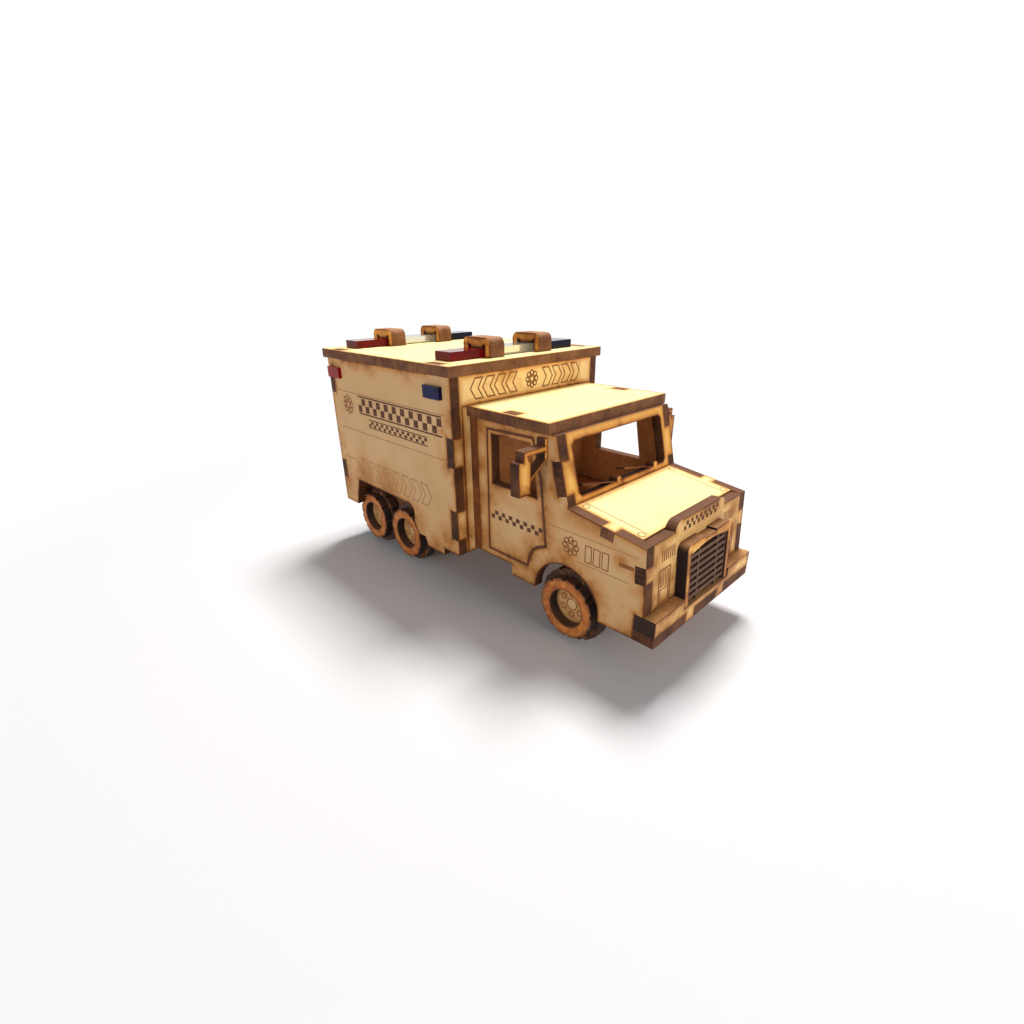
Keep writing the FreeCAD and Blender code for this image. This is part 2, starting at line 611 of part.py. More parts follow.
def make_axle(name, x, outer_y):
    """A pair of wheels and their dowel, one turning piece. The core stands on a lobe's corner."""
    core_y = outer_y + SHEET
    core_end = core_y + CORE_LAYERS * SHEET
    ring = lobed_disc(x, RING_R, outer_y, SHEET, 0).cut(rod(x, AXLE_Z, HUB_HOLE_R, outer_y, core_y))
    core = lobed_disc(x, WHEEL_R, core_y, CORE_LAYERS * SHEET, 1 - LOBE_CREST)
    core = core.cut(rod(x, AXLE_Z, AXLE_R, core_y, core_end))
    for part, solid in (("ring", one(ring)), ("core", one(core))):
        right, left = both_sides(solid)
        save("%s_wheel_%s_right" % (name, part), [right])
        save("%s_wheel_%s_left" % (name, part), [left])
    save(name + "_axle_dowel", [rod(x, AXLE_Z, AXLE_R, core_y, -core_y)])


def bearer(xs, outer_y):
    """A plate hung under a floor beside the wheels, bored for the axles that turn in it."""
    low, high = min(xs) - BEARER_HALF, max(xs) + BEARER_HALF
    foot = AXLE_Z - AXLE_R - BEARER_LIP
    corner = BEARER_HALF / 2
    outline = [(low, FLOOR_Z), (low, foot + corner), (low + corner, foot),
               (high - corner, foot), (high, foot + corner), (high, FLOOR_Z)]
    blank = side_plate(outline, outer_y, outer_y + SHEET)
    for x in xs:
        blank = blank.cut(rod(x, AXLE_Z, AXLE_R + RUN_GAP, outer_y, outer_y + SHEET))
    return one(blank)


def make_running_gear():
    front_y = -HALF_CAB + FRONT_WHEEL_INSET
    rear_y = -BOX_INNER + REAR_WHEEL_INSET
    inward = WHEEL_THICKNESS + WHEEL_SIDE_PLAY
    make_axle("front", FRONT_AXLE_X, front_y)
    make_axle("middle", MIDDLE_AXLE_X, rear_y)
    make_axle("rear", REAR_AXLE_X, rear_y)
    save("front_axle_bearers", both_sides(bearer([FRONT_AXLE_X], front_y + inward)))
    save("rear_axle_bearers", both_sides(bearer([MIDDLE_AXLE_X, REAR_AXLE_X], rear_y + inward)))


os.makedirs("parts", exist_ok=True)
make_box()
make_cab()
make_bumper()
for bar_name, bar_x in zip(("front", "rear"), BAR_X):
    make_light_bar(bar_name, bar_x)
make_running_gear()
print("axles at x", [round(x + SHIFT.x, 3) for x in (FRONT_AXLE_X, MIDDLE_AXLE_X, REAR_AXLE_X)],
      "height", round(AXLE_Z + SHIFT.z, 3))
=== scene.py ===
# %% [markdown]
# # A laser-cut model ambulance
# The real object is a tabletop kit. Flat wood panels lock together with fingers, the lamps are
# small strips of acrylic, and six lobed wheels turn on dowels. A laser leaves its own finish: pale
# faces, dark charred edges, an amber scorch beside every cut, and thin brown engraved lines.
#
# The shapes are already right, because they come from the CAD frame. They could be modelled again
# here, but then they might not fit their joints any more. So this lesson gives them the laser's
# finish and adds only what is a mark on the wood: engraved lines, chequers, chevrons and circles.

# %% Load the fixed frame
import math

import bpy
import numpy as np
from mathutils import Matrix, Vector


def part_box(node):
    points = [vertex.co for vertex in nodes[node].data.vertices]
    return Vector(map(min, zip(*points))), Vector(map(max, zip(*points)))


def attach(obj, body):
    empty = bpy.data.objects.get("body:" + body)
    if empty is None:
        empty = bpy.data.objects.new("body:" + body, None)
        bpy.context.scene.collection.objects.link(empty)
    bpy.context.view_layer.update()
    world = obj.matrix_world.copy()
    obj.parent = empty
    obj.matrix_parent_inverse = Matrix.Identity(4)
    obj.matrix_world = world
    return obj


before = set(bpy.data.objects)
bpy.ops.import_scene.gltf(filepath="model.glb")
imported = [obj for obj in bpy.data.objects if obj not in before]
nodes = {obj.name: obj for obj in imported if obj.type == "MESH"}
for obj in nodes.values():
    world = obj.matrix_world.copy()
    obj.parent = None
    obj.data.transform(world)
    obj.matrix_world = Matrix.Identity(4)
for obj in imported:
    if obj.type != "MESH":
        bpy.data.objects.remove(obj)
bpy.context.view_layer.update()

MM = 0.001

# %% [markdown]
# The photograph was taken from close by with a wide lens, in front of the model and to its right.
# A long lens from further off would show the same faces but flatten the strong perspective, so
# the camera stands where the photograph's own lines meet. A constraint could aim it at the model.
# Its three axes are worked out instead, because that keeps the photograph's slight tilt.

# %% Camera
CAMERA_PLACE = (122.70 * MM, -125.10 * MM, 95.81 * MM)
YAW, PITCH, ROLL = (math.radians(angle) for angle in (135.94, 23.25, 0.70))
FOCAL_LENGTH, SENSOR_WIDTH, NEAREST = 18.41, 36.0, 5 * MM


def camera_axes(yaw, pitch, roll):
    """Rows right, up and back of a camera: forward is the yaw lowered by the pitch, then the roll."""
    forward = np.array([math.cos(yaw) * math.cos(pitch), math.sin(yaw) * math.cos(pitch), -math.sin(pitch)])
    level = np.array([math.sin(yaw), -math.cos(yaw), 0.0])
    down = np.cross(forward, level)
    right = math.cos(roll) * level + math.sin(roll) * down
    return np.array([right, -np.cross(forward, right), -forward])


def placed(axes, place):
    """The matrix of an object whose x, y and z axes are the rows of axes, standing at a place."""
    return Matrix.Translation(place) @ Matrix(axes.T.tolist()).to_4x4()


def into_scene(name, data):
    """A new object in the scene, made from a mesh, lamp or camera."""
    made = bpy.data.objects.new(name, data)
    bpy.context.scene.collection.objects.link(made)
    return made


lens = bpy.data.cameras.new("camera")
lens.sensor_width, lens.lens, lens.clip_start = SENSOR_WIDTH, FOCAL_LENGTH, NEAREST
camera = into_scene("camera", lens)
camera.matrix_world = placed(camera_axes(YAW, PITCH, ROLL), CAMERA_PLACE)
bpy.context.scene.camera = camera
print("camera at", [round(c, 3) for c in camera.location])

# %% [markdown]
# The photograph is lit from above and a little from behind on the left, so that the roofs are the
# brightest faces and the shadow falls forward. A sun lamp would give a hard shadow. Square area
# lamps keep it soft, and their size in metres says how soft. Two weaker ones fill side and front.

# %% Light
LAMPS = {
    "key": dict(place=(-0.10, 0.22, 0.63), aim=0.04, size=0.20, watts=5.8, hue=(1.0, 0.97, 0.92)),
    "fill": dict(place=(0.02, -0.66, 0.17), aim=0.05, size=0.30, watts=1.25, hue=(1.0, 0.97, 0.90)),
    "front": dict(place=(0.70, 0.02, 0.20), aim=0.06, size=0.30, watts=1.8, hue=(1.0, 0.95, 0.88)),
}


def lamp(name, place, aim, size, watts, hue):
    """A square area lamp that points at the height aim above the origin. It shines backwards along
    its z axis, away = place - target, and its x axis is across = (0, 1, 0) x away."""
    data = bpy.data.lights.new(name, "AREA")
    data.shape, data.size, data.energy, data.color = "SQUARE", size, watts, hue
    away = np.array(place) - (0.0, 0.0, aim)
    away /= np.linalg.norm(away)
    across = np.cross((0.0, 1.0, 0.0), away)
    across /= np.linalg.norm(across)
    into_scene(name, data).matrix_world = placed(np.array([across, np.cross(away, across), away]), place)
    print(name, "lamp, watts", watts)


for name, settings in LAMPS.items():
    lamp(name, **settings)

# %% [markdown]
# Shader maths is easier to read as arithmetic than as a picture of nodes. One small class wraps a
# socket, so that `1 - mask` or `a * b` adds the Math node it needs. The alternative is a call for
# each node, which hides the formula. Two more names help: rise and falloff make soft steps.

# %% A socket that can be calculated with
class Number:
    """A value in a shader. Arithmetic on it adds Math nodes to the same tree."""

    def __init__(self, tree, socket):
        self.tree, self.socket = tree, socket

    def maths(self, operation, *others, **settings):
        return self.tree.node("ShaderNodeMath", dict(settings, operation=operation), [self, *others])

    def __add__(self, other):
        return self.maths("ADD", other)

    def __sub__(self, other):
        return self.maths("SUBTRACT", other)

    def __rsub__(self, other):
        return self.tree.node("ShaderNodeMath", {"operation": "SUBTRACT"}, [other, self])

    def __mul__(self, other):
        return self.maths("MULTIPLY", other)

    def __abs__(self):
        return self.maths("ABSOLUTE")

    def __gt__(self, other):
        return self.maths("GREATER_THAN", other)

    __radd__, __rmul__ = __add__, __mul__

    def least(self, other):
        return self.maths("MINIMUM", other)

    def most(self, other):
        return self.maths("MAXIMUM", other)

    def clamped(self):
        return self.maths("ADD", 0.0, use_clamp=True)

    def rise(self, low, high):
        """0 up to low and 1 from high, with s = (v - low) / (high - low) eased as 3 s2 - 2 s3 between."""
        share = (self - low).maths("DIVIDE", high - low, use_clamp=True)
        return share * share * (3 - 2 * share)

    def falloff(self, reach):
        """1 where the value is 0, falling smoothly to 0 where it passes reach."""
        return 1 - self.rise(0.0, reach)


print("a number knows", ", ".join(name for name in vars(Number) if not name.startswith("__")))

# %% [markdown]
# Nodes that aren't sums, such as a noise or a mix of two colours, all come from one method. It
# takes the node's type, its settings, and the values or links of its sockets. Colours are written
# as a screen shows them, from 0 to 255, and made linear, because light adds up only in linear values.

# %% A tree that nodes are added to
class Tree:
    """The nodes of a material or of the world, with the shader that they feed."""

    def __init__(self, owner):
        owner.use_nodes = True
        self.owner, self.tree = owner, owner.node_tree
        self.shader = self.tree.nodes.get("Principled BSDF") or self.tree.nodes["Background"]

    def put(self, socket, value):
        if isinstance(value, Number):
            self.tree.links.new(value.socket, socket)
        else:
            socket.default_value = value

    def node(self, kind, settings, sockets, output=0):
        """A new node: its settings first, then the values or links of its sockets. Returns one output."""
        made = self.tree.nodes.new(kind)
        for name, value in settings.items():
            setattr(made, name, value)
        pairs = sockets.items() if isinstance(sockets, dict) else enumerate(sockets)
        for name, value in pairs:
            self.put(made.inputs[name], value)
        return Number(self, made.outputs[output])

    def coordinates(self):
        """The place of a point on its object, and the direction that its face looks in."""
        return [self.node("ShaderNodeTexCoord", {}, {}, output) for output in ("Object", "Normal")]

    def vector(self, operation, *values, output=0):
        return self.node("ShaderNodeVectorMath", {"operation": operation}, values, output)

    def dot(self, a, b):
        return self.vector("DOT_PRODUCT", a, b, output="Value")

    def scaled(self, vector, factor):
        return self.node("ShaderNodeVectorMath", {"operation": "SCALE"}, {0: vector, "Scale": factor})

    def away(self, point, middle):
        """How far a point is from a middle: the length of their difference."""
        return self.vector("LENGTH", self.vector("SUBTRACT", point, middle), output="Value")

    def noise(self, place, scale, detail=2.0, rough=0.5):
        sockets = {"Vector": place, "Scale": scale, "Detail": detail, "Roughness": rough}
        return self.node("ShaderNodeTexNoise", {}, sockets, "Fac")

    def bumps(self, height):
        """A surface direction for grain 0.04 mm deep where the height goes from 0 to 1."""
        return self.node("ShaderNodeBump", {}, {"Strength": 0.25, "Distance": 0.04 * MM, "Height": height},
                         "Normal")

    def mix(self, share, first, second):
        """The first colour where the share is 0, the second where it is 1."""
        return self.node("ShaderNodeMix", {"data_type": "RGBA"}, {0: share, 6: first, 7: second}, 2)

    def set(self, **sockets):
        """Feeds the shader, with _ for a blank in a socket's name, and returns the tree's owner."""
        for name, value in sockets.items():
            self.put(self.shader.inputs[name.replace("_", " ")], value)
        return self.owner


def new_tree(name):
    """The tree of a new material."""
    return Tree(bpy.data.materials.new(name))


def colour(red, green, blue):
    """A colour as a screen shows it, from 0 to 255, made linear: each part to the power 2.2."""
    return (*[(part / 255) ** 2.2 for part in (red, green, blue)], 1.0)


print("pale wood as linear values", [round(part, 3) for part in colour(208, 171, 127)])

# %% [markdown]
# Laser-cut wood has two quite different surfaces: a pale face, and a charred cut edge that runs
# through the sheet. Which one a point lies on follows from its normal, once the direction of the
# sheet's thickness is known. It could be typed in for each panel. It needn't be: it is the
# direction that most of the panel's area looks in.

# %% Each panel's sheet direction, read from its mesh
NO_AREA = 2e-12


def triangles(node):
    """Corner points of a CAD node's triangles, as an array of triangle, corner and coordinate."""
    mesh = nodes[node].data
    points = np.zeros(len(mesh.vertices) * 3)
    mesh.vertices.foreach_get("co", points)
    corners = np.zeros(len(mesh.loops), int)
    mesh.loops.foreach_get("vertex_index", corners)
    return points.reshape(-1, 3)[corners.reshape(-1, 3)]


def directions(faces):
    """Unit normal of each triangle, and twice its area: direction and length of the cross product of
    two of its sides."""
    normals = np.cross(faces[:, 1] - faces[:, 0], faces[:, 2] - faces[:, 0])
    area = np.linalg.norm(normals, axis=1)
    return normals / np.maximum(area, 1e-15)[:, None], area


def sheet_direction(faces):
    """The normal that most area shares: the areas of triangles with the same normal, rounded to
    three places, are added up, and the largest sum wins."""
    units, area = directions(faces)
    keep = area > NO_AREA
    candidates, index = np.unique(np.round(units[keep], 3), axis=0, return_inverse=True)
    best = candidates[np.argmax(np.bincount(index.ravel(), weights=area[keep]))]
    return best / np.linalg.norm(best)


sample = triangles("box_side_right")
print("box_side_right is a sheet across", sheet_direction(sample))

# %% [markdown]
# The scorch follows the cuts, so the panel's outline is needed as well. In a mesh of triangles an
# edge inside a face belongs to two of them, and an edge on the outline to only one. Counting how
# often each edge occurs finds the outline, whatever its shape.

# %% Each panel's outline, read from its mesh
SNAP = 0.01 * MM
SPREAD = 100003
SHORT_EDGE = 2.5 * MM


def lone_edges(faces):
    """Edges that only one triangle uses. Their ends are rounded to whole numbers and sorted, so that
    an edge between two triangles gives the same six numbers twice."""
    edges = np.stack([faces, np.roll(faces, -1, axis=1)], axis=2).reshape(-1, 2, 3)
    keys = np.round(edges / SNAP).astype(int)
    rank = (keys * (1, SPREAD, SPREAD ** 2)).sum(axis=2)
    keys = np.take_along_axis(keys, np.argsort(rank, axis=1)[:, :, None], axis=1)
    _, first, count = np.unique(keys.reshape(-1, 6), axis=0, return_index=True, return_counts=True)
    return edges[first[count == 1]]


def outline(faces, direction, longest):
    """The longest outline edges of the panel's broad face, flattened along its thickness n as
    p - (p n) n. Edges under 2.5 mm are left out, unless the panel has no longer ones."""
    alone = lone_edges(faces[directions(faces)[0] @ direction > 0.99])
    flat = alone - (alone @ direction)[..., None] * direction
    _, single = np.unique(np.round(flat / SNAP).reshape(-1, 6), axis=0, return_index=True)
    flat = flat[single]
    length = np.linalg.norm(flat[:, 1] - flat[:, 0], axis=1)
    order = np.argsort(-length)[:longest]
    return flat[order][length[order] > min(SHORT_EDGE, 0.5 * length.max())]


print("box_side_right has", len(outline(sample, sheet_direction(sample), 16)), "long outline edges")

# %% [markdown]
# The wood has several tones. Roofs are paler and fronts more golden, partly painted light, since
# some panels lie flat under the lamp and others face it. Other panels took more smoke, and the inner
# tone is painted shade. Each tone is four colours: pale and deep for the clean wood, amber for the
# scorch and burn for its darkest line. A cut edge has three: dark and ash for its streaks, and top,
# a painted highlight, for where it faces up. Char goes darker on low parts, partly as painted shade.
# They are in one table, so that two panels of a tone can't drift apart.

# %% Tones of the wood, as a screen shows them
TONES = {
    "roof": dict(pale=(250, 238, 176), deep=(244, 226, 152), amber=(226, 158, 70), burn=(120, 66, 26)),
    "side": dict(pale=(208, 171, 127), deep=(190, 150, 103), amber=(190, 124, 54), burn=(96, 50, 20)),
    "header": dict(pale=(255, 224, 162), deep=(244, 204, 138), amber=(216, 144, 64), burn=(112, 60, 26)),
    "gold": dict(pale=(255, 208, 120), deep=(242, 180, 92), amber=(206, 124, 46), burn=(100, 50, 20)),
    "nose": dict(pale=(250, 210, 144), deep=(226, 178, 110), amber=(182, 112, 42), burn=(84, 44, 18)),
    # This tone is painted shade: the darker brown of faces that look into the cab or box, and of the floors.
    "inner_shade": dict(pale=(194, 132, 78), deep=(160, 98, 52), amber=(128, 74, 34), burn=(62, 32, 16)),
    "ring": dict(pale=(214, 132, 54), deep=(150, 78, 34), amber=(130, 66, 26), burn=(58, 30, 18)),
    "hub": dict(pale=(204, 158, 102), deep=(178, 128, 74), amber=(180, 122, 48), burn=(84, 46, 20)),
}
# The kinds of char run from warm and pale on the roofs to near black on bumper, grille and wheels: real char,
# made darker on low parts as painted shade. Each top colour is a painted highlight.
CHAR = {
    "warm": dict(dark=(82, 48, 32), ash=(156, 108, 72), top=(156, 108, 72)),
    "plain": dict(dark=(44, 23, 13), ash=(116, 72, 42), top=(104, 68, 46)),
    "topped": dict(dark=(20, 12, 10), ash=(70, 45, 34), top=(192, 140, 90)),
    "soot_and_shade": dict(dark=(18, 11, 9), ash=(58, 37, 28), top=(138, 98, 62)),
    "amber": dict(dark=(84, 44, 20), ash=(150, 92, 44), top=(150, 92, 44)),
    "black": dict(dark=(14, 9, 8), ash=(56, 37, 28), top=(92, 60, 42)),
}


def hues(table, name):
    """The colours of one row of a table, made linear."""
    return {part: colour(*value) for part, value in table[name].items()}


print("tones", ", ".join(TONES), "and edges", ", ".join(CHAR))

# %% [markdown]
# A cut edge is burnt right through. Its streaks run along the beam, which went straight through the
# sheet. So their noise reads the flattened place, in which the thickness doesn't count, and the
# same value runs from face to face. A painted texture would need an unwrapped edge for that.

# %% The charred cut edge
def charred(t, flat, place, normal, kind):
    """Dark and ashen streaks that run through the sheet, in slow tides. Painted light: an edge that
    faces up takes the paler top colour, and one that faces fore or aft is a little paler.
    Returns the colour and the streaks."""
    streaks = t.noise(flat, 2600.0, 2.0, 0.7)
    tide = t.noise(place, 170.0, 3.0, 0.6)
    # Painted light: edges that face up take the top colour, and those that face fore or aft are a little
    # paler.
    up, ahead = t.dot(normal, (0, 0, 1)), abs(t.dot(normal, (1, 0, 0)))
    edge = hues(CHAR, kind)
    sides = t.mix((0.8 * streaks + 1.5 * tide - 0.9 + 0.2 * ahead).clamped(), edge["dark"], edge["ash"])
    return t.mix((1.3 * up + 0.5 * streaks + 1.4 * tide - 1.3).clamped(), sides, edge["top"]), streaks


print("cut edges have", len(CHAR), "kinds of char")

# %% [markdown]
# Beside each cut the laser leaves three things: a thin burnt line, a narrow amber glow, and wide
# patches where smoke curled under the sheet. A painted texture would have to be made for every
# panel. A distance is simpler: the shader measures how far a point is from each long edge of its
# own panel, and colours by that. Slow noise decides where the patches are.

# %% The scorch beside the cuts
PATCH_REACH, GLOW_REACH, BURN_REACH = 8.0 * MM, 2.4 * MM, 0.7 * MM


def cut_distance(t, flat, edges, circles):
    """Distance in metres to the nearest cut. For an edge from a to b: how far along it the point
    lies, held between 0 and 1, then the length from there to the point. For a circle: the distance
    to its middle less its radius, without sign."""
    nearest = None
    for start, end in edges:
        run = end - start
        off = t.vector("SUBTRACT", flat, tuple(start))
        along = t.dot(off, tuple(run / (run @ run))).clamped()
        distance = t.away(off, t.scaled(tuple(run), along))
        nearest = distance if nearest is None else nearest.least(distance)
    for middle, radius in circles:
        nearest = nearest.least(abs(t.away(flat, tuple(middle)) - radius))
    return nearest


def scorched(t, wood, flat, distance, cloud, close, shades, stains, smoke):
    """Amber and burnt tones over the wood. The patches are a falloff with distance times a mask of
    slow clouds, or a stain's own falloff. Glow and burn are falloffs whose distance is made uneven
    by the close noise."""
    mask = cloud.rise(0.62 - 0.3 * smoke, 0.78 - 0.3 * smoke)
    patch = distance.falloff(PATCH_REACH) * mask * (0.35 + 0.9 * close)
    for middle, radius in stains:
        blot = t.away(flat, tuple(middle)) * (0.5 + cloud)
        patch = patch.most(blot.falloff(radius) * (0.4 + 0.9 * close))
    glow = (distance * (0.6 + 0.8 * close)).falloff(GLOW_REACH) * (0.55 + 0.7 * cloud)
    wood = t.mix(patch.most(glow).clamped(), wood, shades["amber"])
    burn = (distance * (0.7 + 0.6 * close)).falloff(BURN_REACH) * (0.5 + 0.7 * close)
    return t.mix((burn + 0.75 * patch * patch * close + 0.4 * glow * patch).clamped(), wood, shades["burn"])


print("scorch reaches in mm", [round(reach / MM, 1) for reach in (PATCH_REACH, GLOW_REACH, BURN_REACH)])

# %% [markdown]
# Now the parts come together in one material for each panel. The wood's face has slow clouds
# between its two clean tones, fine fibres that run fore and aft, and specks. The noise is read in
# object coordinates, in metres, so grain has the same size on every panel. The roughness and a
# bump of a few hundredths of a millimetre follow the specks on a face and the streaks on an edge.

# %% The finish of laser-cut wood
FACE_SLOPE, INSIDE_SLOPE = 0.9, 0.7
FIBRE_RUN = (1.0, 2.6, 2.6)
SPECK_SCALE = 3600.0


def bare_wood(t, place, cloud, speck, shades):
    """Clean wood: deep to pale by slow clouds and long fibres, with a quarter of amber in its specks."""
    fibre = t.noise(t.vector("MULTIPLY", place, FIBRE_RUN), 900.0, 3.0, 0.65)
    wood = t.mix((1.5 * cloud - 0.45 + 0.5 * fibre).clamped(), shades["deep"], shades["pale"])
    return t.mix((1.4 * speck - 0.55).clamped() * 0.25, wood, shades["amber"])


def laser_wood(node, tone, char="plain", inside=None, across=None, circles=(), lines=(), stains=(),
               smoke=0.5, longest=16):
    """A material for one panel. Inside is the direction of a side that looks into the cab or box, and
    that side gets painted shade: the darker inner tone. Across is the sheet's direction where area
    can't tell it. Circles and stains are pairs of middle and radius in metres. Lines are further cuts,
    and longest is how many edges count."""
    faces = triangles(node)
    direction = sheet_direction(faces) if across is None else np.array(across, float)
    shades = hues(TONES, tone)
    t = new_tree("laser_wood_" + node)
    place, normal = t.coordinates()
    on_face = abs(t.dot(normal, tuple(direction))) > FACE_SLOPE
    flat = t.vector("SUBTRACT", place, t.scaled(tuple(direction), t.dot(place, tuple(direction))))
    distance = cut_distance(t, flat, [*outline(faces, direction, longest), *lines], circles)
    cloud, close = t.noise(place, 70.0, 4.0, 0.6), t.noise(place, 420.0, 3.0, 0.6)
    speck = t.noise(place, SPECK_SCALE, 1.0)
    wood = bare_wood(t, place, cloud, speck, shades)
    wood = scorched(t, wood, flat, distance, cloud, close, shades, stains, smoke)
    # Painted shade: faces that look inside take the darker inner tone, mottled by noise.
    if inside is not None:
        dark = hues(TONES, "inner_shade")
        shaded_inside = t.mix((1.6 * close - 0.3).clamped(), dark["deep"], dark["pale"])
        wood = t.mix(t.dot(normal, inside) > INSIDE_SLOPE, wood, shaded_inside)
    edge, streaks = charred(t, flat, place, normal, char)
    return t.set(Base_Color=t.mix(on_face, edge, wood), Roughness=0.62 + 0.2 * speck - 0.12 * on_face,
                 Normal=t.bumps(speck * on_face + 2.0 * streaks * (1 - on_face)), Specular_IOR_Level=0.25)


def paint(node, material):
    """Puts a material on every face of a CAD node."""
    mesh = nodes[node].data
    mesh.materials.clear()
    mesh.materials.append(material)


def panel(node, tone, **finish):
    """Gives one CAD panel its own laser-cut wood."""
    paint(node, laser_wood(node, tone, **finish))
    print(node, "in the tone", tone)


# %% [markdown] Smoke has stained the real sides above the wheel arches and beside the joints. Noise
# alone would put such stains anywhere, so each gets a place and a radius, the same on both sides.
# It is read from the frame, so marks follow the panels.

# %% Box panels
ROOF_TOP = 73.7
DATUM = np.array([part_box("box_front_wall")[1].x / MM, 0.0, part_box("box_roof")[1].z / MM - ROOF_TOP])
BOX_SMOKE = [(-56, 28, 13), (-40, 27, 13), (-24, 20, 12), (-5, 18, 9), (-71, 22, 11), (-3, 44, 6),
             (-12, 14, 8)]
# Painted shade beside the cab: stains on the front wall and a burnt line along the cab's outline, where the
# cab stands against the wall.
CAB_GAP_SHADE = [(y, z, 8) for y in (-31, 31) for z in (12, 22, 32, 42, 52)]
CAB_OUTLINE = [(-29.5, 10), (-29.5, 61.8), (29.5, 61.8), (29.5, 10)]


def on_side(x, z):
    """A place in metres on a panel that runs fore and aft, flattened: its y is 0."""
    return (DATUM + (x, 0, z)) * (1, 0, 1) * MM


def on_front(y, z):
    """A place in metres on a panel that runs across, flattened: its x is 0."""
    return (DATUM + (0, y, z)) * (0, 1, 1) * MM


def smoke_at(on_panel, places):
    """Stains for laser_wood from places on a panel and radii in mm."""
    return [(on_panel(u, v), radius * MM) for u, v, radius in places]


def cuts_along(on_panel, path):
    """Lines for laser_wood from the corners of a path in mm."""
    points = np.array([on_panel(u, v) for u, v in path])
    return np.stack([points[:-1], points[1:]], axis=1)


for hand in ("right", "left"):
    panel("box_side_" + hand, "side", smoke=0.45, stains=smoke_at(on_side, BOX_SMOKE))
# The front wall's stains and outline lines beside the cab are painted shade.
panel("box_front_wall", "header", smoke=0.4, stains=smoke_at(on_front, CAB_GAP_SHADE),
      lines=cuts_along(on_front, CAB_OUTLINE))
panel("box_rear_wall", "side")
panel("box_roof", "roof", char="warm", inside=(0, 0, -1), smoke=0.25)
# The floors take the inner tone, painted shade.
panel("box_floor", "inner_shade", smoke=0.4)

# %% [markdown]
# The cab's door is engraved deep enough to scorch the wood beside it, as a real cut does. Its path
# is written once, and used here for the scorch and later for the line itself. The front corner of
# the door is a quarter of an ellipse round the wheel arch. Through the windows the cab is brown,
# painted shade on the faces that look into it.

# %% Cab panels
ARCH_HEIGHT = ARCH_RADIUS = 11.5
FRONT_AXLE_X = 38.6
CAB_ARCH = [((DATUM + (FRONT_AXLE_X, 0.0, ARCH_HEIGHT)) * MM, ARCH_RADIUS * MM)]
CORNER_SWEEP = np.radians(np.linspace(90, 180, 13))
DOOR_CORNER = np.stack([31.6 + 7.6 * np.cos(CORNER_SWEEP), 17.6 + 8.6 * np.sin(CORNER_SWEEP)], axis=1)
DOOR = np.concatenate([[(7.3, 17.7), (7.6, 56.3), (25.9, 56.8), (29.0, 45.7), (31.0, 26.2)], DOOR_CORNER])
DOOR_CUT = DOOR[[0, 1, 2, 3, 4, 11, 17, 0]]
CAB_SMOKE = [(4, 20, 9), (14, 14, 8), (38, 25, 8), (27, 16, 7), (4, 34, 6), (4, 45, 6), (4, 56, 8),
             (33, 44, 5), (49, 19, 5), (61, 29, 4), (61, 12, 6), (56, 31, 4)]

for hand, inward in (("right", 1), ("left", -1)):
    panel("cab_side_" + hand, "side", inside=(0, inward, 0), circles=CAB_ARCH,
          lines=cuts_along(on_side, DOOR_CUT), smoke=0.75, stains=smoke_at(on_side, CAB_SMOKE))
    panel("mirror_" + hand, "gold", smoke=0.6)
for node in ("cab_roof", "hood_panel"):
    panel(node, "roof", char="warm", inside=(0, 0, -1), smoke=0.25)
panel("cab_back_wall", "side", char="amber", inside=(1, 0, 0), smoke=0.6)
panel("windscreen_frame", "gold", inside=(-1, 0, 0), smoke=0.6, longest=24)
panel("cab_floor", "inner_shade", smoke=0.4)

# %% [markdown]
# Nose and bumper are browner than the sides, and smoke has caught in their corners. The brackets of
# the light bars are arches. Their arched faces are small beside their long edges, so that area
# can't tell the sheet's direction, and it is given.

# %% Nose, bumper and brackets
NOSE_SMOKE = [(side * y, z, radius) for side in (-1, 1)
              for y, z, radius in ((20, 30, 6), (21, 23, 6), (14, 20, 6), (24, 36, 4))]

panel("nose_panel", "nose", smoke=0.6, stains=smoke_at(on_front, NOSE_SMOKE))
for node in ("bumper_front_layer", "bumper_rear_layer"):
    panel(node, "nose", char="topped", smoke=0.6)
panel("grille_frame", "gold", char="soot_and_shade", smoke=0.7)
panel("front_plate", "side", smoke=0.7)
for node in ("front_bar_brackets", "rear_bar_brackets"):
    panel(node, "gold", char="warm", across=(0, 1, 0), smoke=0.8)

# %% [markdown]
# Each wheel is two discs: a ring with a round window, and behind it a larger core. They are small
# and nearly all edge, so they took on the smoke all over. Their outlines are short lobes, for
# which distances to long edges would say little. Here the scorch follows the radius from the
# axle instead, and is darkest at the rim. Beyond the ring the core is dark, with soot and painted
# shade where it sits back in the arch.

# %% Wheels
RING_RADIUS, CORE_RADIUS = 9.3 * MM, 11.2 * MM
WINDOW_RADIUS, SOOT_AND_SHADE_RADIUS = 5.8 * MM, 7.6 * MM
RIM_REACH, WINDOW_REACH = 1.5 * MM, 0.8 * MM
AXLES = {axle: np.mean(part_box(axle + "_axle_dowel"), axis=0) for axle in ("front", "middle", "rear")}


